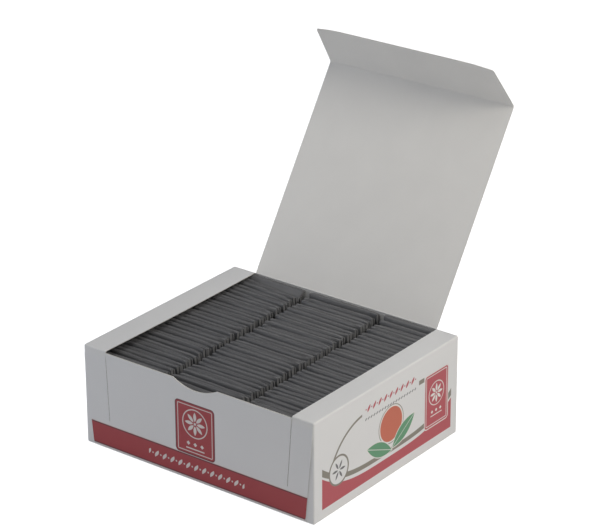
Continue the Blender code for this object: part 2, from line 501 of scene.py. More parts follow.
# Front and back print: a red band with dark edge lines, a pale leaf row on it, and an emblem above it.
def bandBoard(name, mirrored, bandHalfWidth, withEmblem):
    material, tree, shader, vector = newFinish(name, 0.45, 0.12)
    place = separate(tree, vector)
    x = times(tree, place[0], -1.0 if mirrored else 1.0)
    z = place[2]
    p = bandPrint
    up = minus(tree, z, p["bandMiddle"])
    band = boxDistance(tree, up, x, p["bandHalfHeight"], bandHalfWidth)
    colour = stamp(tree, inks["board"], minus(tree, band, p["paleEdge"]), "frontPale")
    colour = stamp(tree, colour, band, "frontRed")
    edge = outline(tree, plus(tree, band, p["edgeLine"]), p["edgeLine"])
    colour = over(tree, colour, edge, inks["frontDarkRed"])
    colour = stampRow(tree, colour, minus(tree, x, p["rowMiddle"]), up, p["row"], "frontPale")
    if withEmblem:
        colour = frontEmblem(tree, colour, *fromPoint(tree, x, z, p["emblemMiddle"]), p["emblemHalf"])
    coatedBoard(tree, shader, vector, colour)
    return material


sidePrint = {
    "halfDepth": 84.0,
    "margins": (9.3, 160.0),
    "foot": 7.8,
    "bandTop": 15.5,
    "bandRise": 15.5,
    "bandMiddle": 84.6,
    "stripeAbove": 2.8,
    "stripeHeight": 3.4,
    "stripeSwell": 1.1,
    "disc": (88.0, 39.6, 12.8),
    "smallDisc": (28.0, 30.0, 10.6),
    "ring": 0.7,
    "petals": (6, 4.2, 3.2, 0.9),
    "discRing": 1.5,
    "leaves": (((74.5, 25.4), -22.0), ((102.5, 29.0), 32.0)),
    "leafHalf": (15.5, 5.4),
    "rowMiddle": (87.3, 62.4),
    "row": (6.4, 29.5, 2.6),
    "dotsMiddle": (87.3, 55.0),
    "dots": (3.2, 29.5, 1.1),
    "emblem": (141.9, 38.1),
    "arc": (59.9, 16.0, 44.2),
    "arcEnds": (54.0, 33.0),        # it stops before this distance back and above this height
    "arcHalfWidth": 0.9,
    "bit": (123.6, 57.6),           # a short piece of the stripe beside the emblem
    "bitHalf": (3.2, 1.7),
    "emblemHalf": (14.5, 21.2),
}


# A leaf of the picture: its middle, its turn in degrees, half its length and half its width.
def printedLeaf(tree, a, b, middle, turn, halfLength, halfWidth):
    c, s = math.cos(math.radians(turn)), math.sin(math.radians(turn))
    da, db = fromPoint(tree, a, b, middle)
    along = scaled(tree, da, c, times(tree, db, s))
    across = scaled(tree, db, c, times(tree, da, -s))
    blade = leafDistance(tree, along, across, halfLength, halfWidth)
    vein = larger(tree, beyond(tree, across, 0.22), blade)
    return blade, vein


# Side print: a red band that rises to both ends under a taupe stripe, a tea-coloured disc on two leaves,
# a small ringed disc with an arc over it, a red leaf row over a dotted line, and the emblem. It reads alike
# on both sides.
def sideBoard():
    material, tree, shader, vector = newFinish("sideBoard", 0.45, 0.12)
    place = separate(tree, vector)
    p = sidePrint
    a = scaled(tree, place[1], calc(tree, "SIGN", place[0]), p["halfDepth"])
    b = place[2]
    middle = (p["margins"][0] + p["margins"][1]) / 2
    reach = (p["margins"][1] - p["margins"][0]) / 2
    ends = beyond(tree, minus(tree, a, middle), reach)
    share = calc(tree, "DIVIDE", minus(tree, a, p["bandMiddle"]), reach)
    fourth = calc(tree, "POWER", absolute(tree, share), 3.6)
    top = scaled(tree, fourth, p["bandRise"], p["bandTop"])
    height = minus(tree, b, top)
    band = larger(tree, larger(tree, height, minus(tree, p["foot"], b)), ends)
    stripe = minus(tree, height, p["stripeAbove"] + p["stripeHeight"] / 2)
    stripe = beyond(tree, stripe, scaled(tree, fourth, p["stripeSwell"], p["stripeHeight"] / 2))
    colour = stamp(tree, inks["board"], band, "sideRed")
    colour = stamp(tree, colour, larger(tree, stripe, ends), "taupe")

    arc = lengthOf(tree, *fromPoint(tree, a, b, p["arc"]))
    arc = beyond(tree, minus(tree, arc, p["arc"][2]), p["arcHalfWidth"])
    arcEnds = larger(tree, minus(tree, a, p["arcEnds"][0]), minus(tree, p["arcEnds"][1], b))
    bit = boxDistance(tree, *fromPoint(tree, a, b, p["bit"]), *p["bitHalf"])
    colour = stamp(tree, colour, smaller(tree, larger(tree, arc, arcEnds), bit), "taupe")

    sa, sb = fromPoint(tree, a, b, p["smallDisc"])
    radius = lengthOf(tree, sa, sb)
    disc = minus(tree, radius, p["smallDisc"][2])
    colour = stamp(tree, colour, disc, "board")
    colour = over(tree, colour, outline(tree, disc, p["ring"]), inks["taupe"])
    colour = stamp(tree, colour, leafRing(tree, sa, sb, radius, *p["petals"]), "lineGrey")

    radius = lengthOf(tree, *fromPoint(tree, a, b, p["disc"]))
    ring = minus(tree, radius, p["disc"][2] + p["discRing"])
    colour = stamp(tree, colour, ring, "sidePale")
    colour = over(tree, colour, outline(tree, ring, 0.3), inks["taupe"])
    colour = stamp(tree, colour, minus(tree, radius, p["disc"][2]), "teaOrange")
    for leafMiddle, leafTurn in p["leaves"]:
        blade, vein = printedLeaf(tree, a, b, leafMiddle, leafTurn, *p["leafHalf"])
        colour = stamp(tree, colour, minus(tree, blade, 0.7), "sidePale")
        colour = stamp(tree, colour, blade, "leafGreen")
        colour = stamp(tree, colour, vein, "sidePale")

    colour = stampRow(tree, colour, *fromPoint(tree, a, b, p["rowMiddle"]), p["row"], "sideRed")
    colour = stampRow(tree, colour, *fromPoint(tree, a, b, p["dotsMiddle"]), p["dots"], "lineGrey")
    marks = emblemMarks(tree, *fromPoint(tree, a, b, p["emblem"]), p["emblemHalf"])
    colour = over(tree, colour, marks["Plate"], inks["sideRed"])
    colour = over(tree, colour, anyOf(tree, marks["Outline"], marks["Motif"]), inks["sidePale"])
    coatedBoard(tree, shader, vector, colour)
    return material


lidPrintShape = {
    "middle": (101.0, 82.0),
    "emblemHalf": (26.0, 30.0),
    "rowsAway": (-52.0, 52.0),
    "row": (8.0, 64.0, 3.0),
}


# Outside of the lid: the emblem in the middle between two leaf rows, read from the sheet's own map.
def lidPrint():
    material, tree, shader, vector = newFinish("lidBoard", 0.45, 0.12)
    place = sheetPlace(tree)
    p = lidPrintShape
    across = minus(tree, place[0], p["middle"][0])
    up = minus(tree, p["middle"][1], place[1])
    colour = frontEmblem(tree, inks["board"], across, up, p["emblemHalf"])
    for height in p["rowsAway"]:
        colour = stampRow(tree, colour, across, minus(tree, up, height), p["row"], "frontRed")
    coatedBoard(tree, shader, vector, colour)
    return material


# Uncoated inner side of the board: warmer, matt, with fibres, and set paler than the coated white as painted
# light that brightens the lid and the flap.
def insideBoard():
    material, tree, shader, vector = newFinish("insideBoard", 0.8)
    grain = putGroup(tree, paperGrain, {"Vector": vector, "Tooth": 1.8, "Cloud": 0.04})
    tone = scaled(tree, grain["Tone"], 1.6, -0.1, clamp=True)
    colour = over(tree, inks["insideDeep"], tone, inks["inside"])
    tree.links.new(colour, shader.inputs["Base Color"])
    tree.links.new(scaled(tree, grain["Height"], 0.15, 0.72), shader.inputs["Roughness"])
    bumpFrom(tree, shader, grain["Height"], 0.25, 0.00006)
    return material


def cutBoard():
    material, tree, shader, vector = newFinish("cutEdge", 0.85)
    grain = putGroup(tree, paperGrain, {"Vector": vector, "Tooth": 6.0, "Cloud": 0.2})
    core = (0.55, 0.54, 0.51, 1.0)
    colour = over(tree, core, scaled(tree, grain["Tone"], 2.0, -0.4, clamp=True), inks["cutEdge"])
    tree.links.new(colour, shader.inputs["Base Color"])
    bumpFrom(tree, shader, grain["Height"], 0.5, 0.00008)
    return material


# Grey envelope paper: each envelope has its own tone, the folded top has fine dark lines of painted shade
# standing in for the shade between its layers, the side seams are ribbed by the crimping wheels, and the
# whole has a slight gloss.
def envelopePaper():
    material, tree, shader, vector = newFinish("envelopePaper", 0.5, 0.0)
    place = sheetPlace(tree)
    grain = putGroup(tree, paperGrain, {"Vector": vector, "Tooth": 2.0, "Cloud": 0.12})
    seam = scaled(tree, beyond(tree, minus(tree, place[0], 500.0), 25.6), 2.0, 0.5, clamp=True)
    tone = scaled(tree, marked(tree, "ownTone"), 0.35, scaled(tree, grain["Tone"], 0.9, -0.2), clamp=True)
    colour = over(tree, inks["envelopeDark"], tone, inks["envelope"])
    # Painted shade of the folded layers: fine dark lines across the box, which waver with the paper's tone
    wander = scaled(tree, grain["Tone"], 7.0, times(tree, separate(tree, vector)[1], 3.0))
    layers = scaled(tree, calc(tree, "SINE", wander), 0.5, 0.5)
    layers = scaled(tree, layers, 0.75, 0.15)
    colour = over(tree, colour, times(tree, marked(tree, "foldMark"), layers), inks["envelopeFoldShade"])
    tree.links.new(colour, shader.inputs["Base Color"])
    rough = scaled(tree, grain["Height"], 0.20, 0.44)
    tree.links.new(rough, shader.inputs["Roughness"])
    ribs = calc(tree, "SINE", times(tree, place[0], 2 * math.pi / 1.1))
    height = scaled(tree, times(tree, ribs, seam), 0.5, grain["Height"])
    bumpFrom(tree, shader, height, 0.5, 0.00012)
    return material


board = {
    "plain": plainBoard(),
    "front": bandBoard("frontBoard", False, 200.0, True),
    "back": bandBoard("backBoard", True, 92.0, True),
    "side": sideBoard(),
    "lid": lidPrint(),
    "inside": insideBoard(),
    "cut": cutBoard(),
}
envelopeFinish = envelopePaper()
print("finishes made:", len(board) + 1)


carton = {
    "width": 200.0,
    "front": -83.5,       # the inner front wall; the outer panel lies on it
    "back": 84.0,
    "height": 76.0,
    "board": 0.5,
    "foldRadius": 1.2,
    "stripLeft": -80.0,   # inner edges of the two strips of the top
    "stripRight": 82.0,
    "rim": 74.6,
    "notchMiddle": -0.4,
    "notchHalfChord": 19.0,
    "notchDepth": 5.2,
    "nibPitch": 3.2,
    "nibLength": 0.2,
    "wallBow": 0.30,
    "stripSag": 0.5,
    "baseSeam": 30.0,
    "backSeam": -84.0,
    "seamDepth": 0.35,
}


# Height of the front rim: level, with an arc of a circle sunk into it as the thumb notch.
def rimHeight(x):
    c = carton
    radius = (c["notchHalfChord"] ** 2 + c["notchDepth"] ** 2) / (2 * c["notchDepth"])
    away = np.clip(np.abs(x - c["notchMiddle"]), 0.0, radius)
    arc = c["rim"] - c["notchDepth"] + radius - np.sqrt(radius**2 - away**2)
    return np.minimum(c["rim"], arc)


# Small torn ends of the perforation along an edge: a bell every few millimetres, uneven in size.
def nibs(along):
    pitch = carton["nibPitch"]
    number = np.round(along / pitch)
    size = 0.65 + 0.35 * np.sin(number * 2.4) * np.cos(number * 1.1)
    return carton["nibLength"] * size * np.exp(-((along - number * pitch) / 0.45) ** 2)


# The filled, handled box is not quite flat: walls bow in by sines along and up them, and the strips of
# the top droop towards their free edges.
def settle(points):
    c = carton
    x, y, z = points[..., 0], points[..., 1], points[..., 2]
    halfWidth, halfDepth = c["width"] / 2, c["back"]
    along = np.sin(math.pi * np.clip((y + halfDepth) / (2 * halfDepth), 0, 1))
    wide = np.sin(math.pi * np.clip((x + halfWidth) / (2 * halfWidth), 0, 1))
    up = np.sin(math.pi * np.clip(z / c["height"], 0, 1))
    strip = halfWidth + c["stripLeft"]
    droop = np.clip((halfWidth - np.abs(x)) / strip, 0, 1) ** 2 * ease(z, 74.9, 75.4) * along
    moved = points.copy()
    moved[..., 0] -= c["wallBow"] * (x / halfWidth) ** 3 * along * up
    moved[..., 1] -= c["wallBow"] * (y / halfDepth) ** 3 * wide * up
    moved[..., 2] -= c["stripSag"] * droop * (np.abs(x) > 79.0)
    return moved


# The sharp box drawn in to a folded one: C is the point clamped into the box shrunk by the fold radius, N
# points from C to it, the outside is C + radius N and the inside C + (radius - board) N.
def foldBox(points, low, high):
    radius = carton["foldRadius"]
    core = np.clip(points, low + radius, high - radius)
    normal = points - core
    normal /= np.linalg.norm(normal, axis=-1, keepdims=True)
    folded = 1.0 - np.max(np.abs(normal), axis=-1)
    return core + radius * normal, core + (radius - carton["board"]) * normal, ease(folded, 0.0, 0.2)


def cartonBody():
    c = carton
    half = c["width"] / 2
    r = c["foldRadius"]
    low = np.array([-half, c["front"], 0.0])
    high = np.array([half, c["back"], c["height"]])
    left, right = c["stripLeft"], c["stripRight"]
    notch = c["notchMiddle"] + c["notchHalfChord"] * np.linspace(-1, 1, 41)
    plainColumns = [-90, left, left + 0.3, -74, -66, -58, -50, -42, -34, -26, 26, 34, 42, 50, 58, 66, 74,
                    right - 0.3, right, 90, c["backSeam"] - 0.05, c["backSeam"] + 0.05]
    xs = foldedLines(-half, half, r, np.sort(np.concatenate([plainColumns, notch])))
    ys = foldedLines(c["front"], c["back"], r, np.arange(-82.0, 82.8, 0.4))
    zs = foldedLines(0.0, c["height"], r, [4, 10, 18, 26, 34, 42, 50, 60, 62, 64, 66, 68, 70, 72, 73.5])

    def openTop(middle):
        return (middle[:, 0] > left) & (middle[:, 0] < right)

    faces = [
        (xs, zs, lambda a, b: (a, c["front"] + 0 * a, b), lambda m: ~(openTop(m) & (m[:, 2] > 74.8)), 0),
        (ys, zs, lambda a, b: (half + 0 * a, a, b), None, 1),
        (xs[::-1], zs, lambda a, b: (a, c["back"] + 0 * a, b), lambda m: ~(openTop(m) & (m[:, 2] > 74.8)), 2),
        (ys[::-1], zs, lambda a, b: (-half + 0 * a, a, b), None, 1),
        (xs, ys, lambda a, b: (a, b, c["height"] + 0 * a), lambda m: ~openTop(m), 0),
        (xs[::-1], ys, lambda a, b: (a, b, 0 * a), None, 0),
    ]
    allPoints, allQuads, finish = [], [], []
    start = 0
    for columns, rows, put, keep, index in faces:
        points = np.stack(put(*np.meshgrid(columns, rows)), axis=-1).reshape(-1, 3)
        quads = gridQuads(len(rows), len(columns))
        if keep is not None:
            quads = quads[keep(points[quads].mean(axis=1))]
        allPoints.append(points)
        allQuads.append(quads + start)
        finish.append(np.full(len(quads), index))
        start += len(points)
    points = np.concatenate(allPoints)
    quads = np.concatenate(allQuads)
    finish = np.concatenate(finish)
    _, first, index = np.unique(np.round(points, 4), axis=0, return_index=True, return_inverse=True)
    points = points[first]
    quads = index.reshape(-1)[quads]

    outer, inner, folded = foldBox(points, low, high)
    x, y, z = points.T
    middle = (x > left + 0.1) & (x < right - 0.1)
    rise = np.clip((z - 60.0) / (74.8 - 60.0), 0, 1)
    shift = np.where(middle & (y < c["front"] + 0.01), rise * (rimHeight(x) - 74.8), 0.0)
    edge = np.where(z > 75.9, nibs(y) * ((y > -80) & (y < 80)), 0.0)
    push = np.where(np.abs(x - left) < 0.01, edge, np.where(np.abs(x - right) < 0.01, -edge, 0.0))
    # Glued flaps end in a step: one across the base and one up the back wall
    under = (z < 0.01) & (np.abs(x) < half - 3) & (y > c["baseSeam"]) & (y < c["back"] - 3)
    behind = (y > c["back"] - 0.01) & (x < c["backSeam"]) & (x > -half + 3) & (z > 3) & (z < 74)
    underStep, backStep = c["seamDepth"] * under, c["seamDepth"] * behind
    change = np.stack([push, -backStep, shift + underStep], axis=-1)
    # The fold mark gives the folds their rubbed coating and their painted highlight
    return sheetMesh(
        "cartonBody", settle(outer + change), settle(inner + change), quads,
        [board["plain"], board["side"], board["back"], board["inside"], board["cut"]],
        frontFinish=finish, backFinish=3, edgeFinish=4, marks={"foldMark": folded},
    )


frontPanelShape = {
    "topInset": 0.9,
    "footInset": 7.0,
    "straightTo": 66.0,
    "foot": 0.8,
    "corner": 3.2,
    "proud": 0.5,
    "lift": 0.24,
    "perforationTop": (-79.8, 82.0),    # at the rim
    "perforationEnd": (-77.8, 78.2),    # where it stops
    "perforationStop": 22.7,
    "slit": 0.50,
    "tearTop": 33.6,
    "tearWidth": 0.95,
}


# The outer front panel, folded down from the strips: its side edges lean in towards the foot, where its
# corners are round, and it lies half a millimetre proud. A perforation runs down each side of its middle.
def frontPanel():
    p = frontPanelShape
    stop = p["perforationStop"]
    periods = 13
    period = (74.8 - stop) / periods
    cut = np.array([0.0, 0.30, 0.60, 0.91]) * period
    upper = (stop + period * np.arange(periods)[:, None] + cut[None, :]).ravel()
    rows = np.concatenate([[0.8, 0.85, 1.0, 1.3, 1.8, 2.4, 3.2, 4.2, 7, 11, 15, 19], upper, [74.8]])
    narrowing = np.clip((p["straightTo"] - rows) / (p["straightTo"] - p["foot"]), 0, 1)
    inset = p["topInset"] + (p["footInset"] - p["topInset"]) * narrowing
    near = np.clip(p["corner"] - (rows - p["foot"]), 0, p["corner"])
    inset = inset + p["corner"] - np.sqrt(p["corner"] ** 2 - near**2)
    down = np.clip((74.6 - rows) / (74.6 - stop), 0, 1.1)
    cutLeft = p["perforationTop"][0] + (p["perforationEnd"][0] - p["perforationTop"][0]) * down
    cutRight = p["perforationTop"][1] + (p["perforationEnd"][1] - p["perforationTop"][1]) * down
    tear = np.sin(math.pi * np.clip((rows - stop) / (p["tearTop"] - stop), 0, 1)) ** 0.6
    slitLeft = np.full(len(rows), p["slit"] / 2)
    slitRight = p["slit"] / 2 + (p["tearWidth"] - p["slit"]) / 2 * tear

    notch = (carton["notchMiddle"] + carton["notchHalfChord"] * np.linspace(-1, 1, 41) + 79.7) / 161.6
    share = np.sort(np.concatenate([np.linspace(0, 0.36, 12), notch, np.linspace(0.64, 1.0, 12)]))
    outerShare = np.linspace(0, 1, 9)

    def spread(low, high, shares):
        return low[:, None] + (high - low)[:, None] * shares[None, :]

    x = np.concatenate([
        spread(-100 + inset, cutLeft - slitLeft, outerShare),
        spread(cutLeft + slitLeft, cutRight - slitRight, share),
        spread(cutRight + slitRight, 100 - inset, outerShare),
    ], axis=1)
    z = np.broadcast_to(rows[:, None], x.shape).copy()
    columns = x.shape[1]
    number = np.arange(columns)
    middle = (number >= len(outerShare)) & (number < len(outerShare) + len(share))
    rise = np.clip((z - 60.0) / 14.8, 0, 1)
    z = z + np.where(middle[None, :], rise * (rimHeight(x) - 74.8), 0.0)
    proud = np.where(middle[None, :], p["proud"], 0.03 + (p["proud"] - 0.03) * ease(74.8 - z, 0.0, 7.0))
    lift = p["lift"] * ease(x, 84.0, 97.0) * ease(66.0 - z, 0.0, 30.0)
    lift = lift + 0.12 * ease(-x, 86.0, 97.0) * ease(60.0 - z, 0.0, 30.0)
    front = np.stack([x, carton["front"] - proud, z], axis=-1).reshape(-1, 3)
    back = np.stack([x, carton["front"] - 0.012 - lift, z], axis=-1).reshape(-1, 3)

    quads = gridQuads(len(rows), columns)
    row = np.repeat(np.arange(len(rows) - 1), columns - 1)
    column = np.tile(np.arange(columns - 1), len(rows) - 1)
    bottom = rows[row]
    tie = np.isclose(rows[row + 1] - bottom, 0.09 * period, atol=0.02) & (bottom < 70)
    torn = (bottom < p["tearTop"]) & (column > columns / 2)
    slitColumn = (column == len(outerShare) - 1) | (column == len(outerShare) + len(share) - 1)
    open_ = slitColumn & (bottom > stop - 0.01) & (~tie | torn)
    # Rubbed fold with its painted highlight, down from the fold to the strips, outside the middle
    wornAndHighlit = ease(74.8 - z, 6.0, 0.0) * ~middle[None, :]
    return sheetMesh(
        "frontPanel", settle(front), settle(back), quads[~open_],
        [board["front"], board["inside"], board["cut"]], marks={"foldMark": wornAndHighlit.reshape(-1)},
    )


lidShape = {
    "axis": (83.75, 75.75),
    "angle": 56.6,         # of the open lid above the level, leaning back
    "length": 166.3,
    "creaseGap": 0.6,
    "left": -79.6,
    "right": 81.6,
    "bow": 0.7,
    "flapAngle": 122.6,
    "flapLength": 39.3,
    "flapTaper": 3.7,
    "flapCorner": 1.6,
    "flapCurl": 1.8,
}


# A flat panel hinged at a point of the YZ plane: across is X, along runs up the panel, and off stands on
# its inner face.
def panelPoint(across, along, off, start, angle):
    c, s = math.cos(math.radians(angle)), math.sin(math.radians(angle))
    return np.stack([across, start[0] + along * c - off * s, start[1] + along * s + off * c], axis=-1)


def farCrease():
    p = lidShape
    end = panelPoint(np.array(0.0), np.array(p["length"]), np.array(0.0), p["axis"], p["angle"])
    return float(end[1]), float(end[2])


# Both faces of a panel from its outline and its bend, half a board to each side of the middle.
def panelPiece(name, across, along, off, start, angle, printed, marks):
    halfBoard = carton["board"] / 2
    rows, columns = across.shape
    inner = panelPoint(across, along, off + halfBoard, start, angle).reshape(-1, 3)
    outer = panelPoint(across, along, off - halfBoard, start, angle).reshape(-1, 3)
    uv = np.stack([across + 100.0, along], axis=-1).reshape(-1, 2) * mm
    return sheetMesh(
        name, inner, outer, gridQuads(rows, columns), [board["inside"], printed, board["cut"]],
        uv=uv, marks={"foldMark": marks.reshape(-1)},
    )


# The lid: a rectangle with torn nibs down both sides, bowed a little like a sine both ways.
def lidBoard():
    p = lidShape
    along = np.linspace(p["creaseGap"], p["length"] - p["creaseGap"], 420)[:, None]
    share = np.concatenate([[0, 0.006], np.linspace(0.03, 0.97, 15), [0.994, 1]])[None, :]
    left = p["left"] - nibs(along + 1.4)
    right = p["right"] + nibs(along + 0.5)
    across = left + (right - left) * share
    along = np.broadcast_to(along, across.shape)
    off = -p["bow"] * np.sin(math.pi * share) * np.sin(math.pi * along / p["length"])
    # Rubbed creases with their painted highlight at both ends of the lid
    mark = ease(along, 2.5, 0.0) + ease(along, p["length"] - 2.5, p["length"])
    return panelPiece("lidBoard", across, along, off, p["axis"], p["angle"], board["lid"], mark)


# The tuck flap: it narrows to its free edge, its corners are round, and both ends curl in like bells.
def tuckFlap():
    p = lidShape
    shares = np.concatenate([np.linspace(0, 0.9, 22), 1 - 0.1 * (1 - np.linspace(0.1, 1, 12)) ** 2])
    along = (p["creaseGap"] + (p["flapLength"] - p["creaseGap"]) * shares)[:, None]
    near = np.clip(along - (p["flapLength"] - p["flapCorner"]), 0, p["flapCorner"])
    corner = p["flapCorner"] - np.sqrt(p["flapCorner"] ** 2 - near**2)
    taper = p["flapTaper"] * np.clip((along - 0.6) / (p["flapLength"] - 0.6), 0, 1) + corner
    left, right = p["left"] + taper, p["right"] - taper
    share = (0.5 - 0.5 * np.cos(np.linspace(0, math.pi, 40)))[None, :]
    across = left + (right - left) * share
    along = np.broadcast_to(along, across.shape)
    curl = np.exp(-((across - p["left"]) / 12.0) ** 2) + 0.8 * np.exp(-((p["right"] - across) / 16.0) ** 2)
    off = p["flapCurl"] * curl * (along / p["flapLength"]) ** 1.3
    # Rubbed crease with its painted highlight along the flap's fold
    mark = ease(along, 2.5, 0.0)
    return panelPiece("tuckFlap", across, along, off, farCrease(), p["flapAngle"], board["plain"], mark)


# A crease: the board turns from one panel's direction into the other's along a short quadratic curve whose
# middle control point is the hinge.
def creaseFold(name, start, middle, end):
    t = np.linspace(0, 1, 11)[:, None]
    start, middle, end = (np.array(point)[None, :] for point in (start, middle, end))
    line = (1 - t) ** 2 * start + 2 * t * (1 - t) * middle + t**2 * end
    run = 2 * (1 - t) * (middle - start) + 2 * t * (end - middle)
    run /= np.linalg.norm(run, axis=1, keepdims=True)
    side = np.stack([-run[:, 1], run[:, 0]], axis=1) * carton["board"] / 2
    thin = 1.0 - 0.75 * np.sin(math.pi * t) ** 2
    across = np.linspace(lidShape["left"] + 0.05, lidShape["right"] - 0.05, 24)

    def face(profile):
        x = np.broadcast_to(across[None, :], (len(profile), len(across)))
        flat = np.broadcast_to(profile[:, None, :], (*x.shape, 2))
        return np.concatenate([x[..., None], flat], axis=-1).reshape(-1, 3)

    bead = 1.0 + 1.1 * np.sin(math.pi * t) ** 2
    front = face(line + side * bead)
    uv = np.stack([front[:, 0] + 100.0, front[:, 2] * 0], axis=-1) * mm
    # The whole crease has the rubbed coating and its painted highlight
    return sheetMesh(
        name, front, face(line - side * thin), gridQuads(len(t), len(across)),
        [board["inside"], board["plain"], board["cut"]], uv=uv, marks={"foldMark": np.ones(len(front))},
    )


body = cartonBody()
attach(body, "carton")
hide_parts("tray")
panel = frontPanel()
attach(panel, "carton")
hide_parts("tray")
print("carton made")

lid = lidBoard()
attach(lid, "lid")
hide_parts("lid")
flap = tuckFlap()
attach(flap, "flap")
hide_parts("lid_flap")

axis = lidShape["axis"]
crease = farCrease()


def alongPanel(start, distance, angle):
    turn = math.radians(angle)
    return (start[0] + distance * math.cos(turn), start[1] + distance * math.sin(turn))


hingeStart, hingeEnd = (axis[0], 74.8), alongPanel(axis, lidShape["creaseGap"], lidShape["angle"])
hingeFold = creaseFold("hingeFold", hingeStart, axis, hingeEnd)
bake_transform(hingeFold)
flapStart = alongPanel(axis, lidShape["length"] - lidShape["creaseGap"], lidShape["angle"])
flapEnd = alongPanel(crease, lidShape["creaseGap"], lidShape["flapAngle"])
flapFold = creaseFold("flapFold", flapStart, (crease[0] - 0.15, crease[1]), flapEnd)
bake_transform(flapFold)
print("lid and flap made")


envelopeShape = {
    "foot": 0.9,
    "bellyTop": 48.0,
    "belly": 4.9,           # thickness over the tea
    "neck": 3.0,            # thickness under the folded top
    "ridge": 3.1,           # thickness of the top
    "ridgeShift": -0.50,    # the top stands before the middle, and the leaf folded over it behind
    "ridgeHeight": 8.0,
    "seam": 0.5,            # thickness of the side seams
    "foldedSeam": 2.2,      # and where the top is folded over them
    "seamStart": 25.5,
    "seamCurl": 1.2,
    "wave": 0.30,
    "leaf": 0.9,            # thickness of the folded-over leaf
    "leafShift": 1.72,
    "leafDrop": 0.7,
    "leafHeight": 9.0,
    "wallReach": 82.95,
    "lookSeed": 5,
}
rowShape = {
    "count": 32,
    "centres": {"left": -64.0, "middle": 2.3, "right": 68.6},
    "slip": {"left": 0.8, "middle": 0.8, "right": 0.3},
    "belly": (-72.9, 80.4),
    "ridge": (-76.8, 81.4),
    "top": (69.2, 72.8),
    "topSlip": 0.6,
    "ridgeSlip": 0.3,
    "seed": 12,             # the solids' own draws, so that each envelope stands where its solid does
    "leaning": {"belly": 80.6, "ridge": 82.0, "top": 75.1, "thickness": 4.4},
}


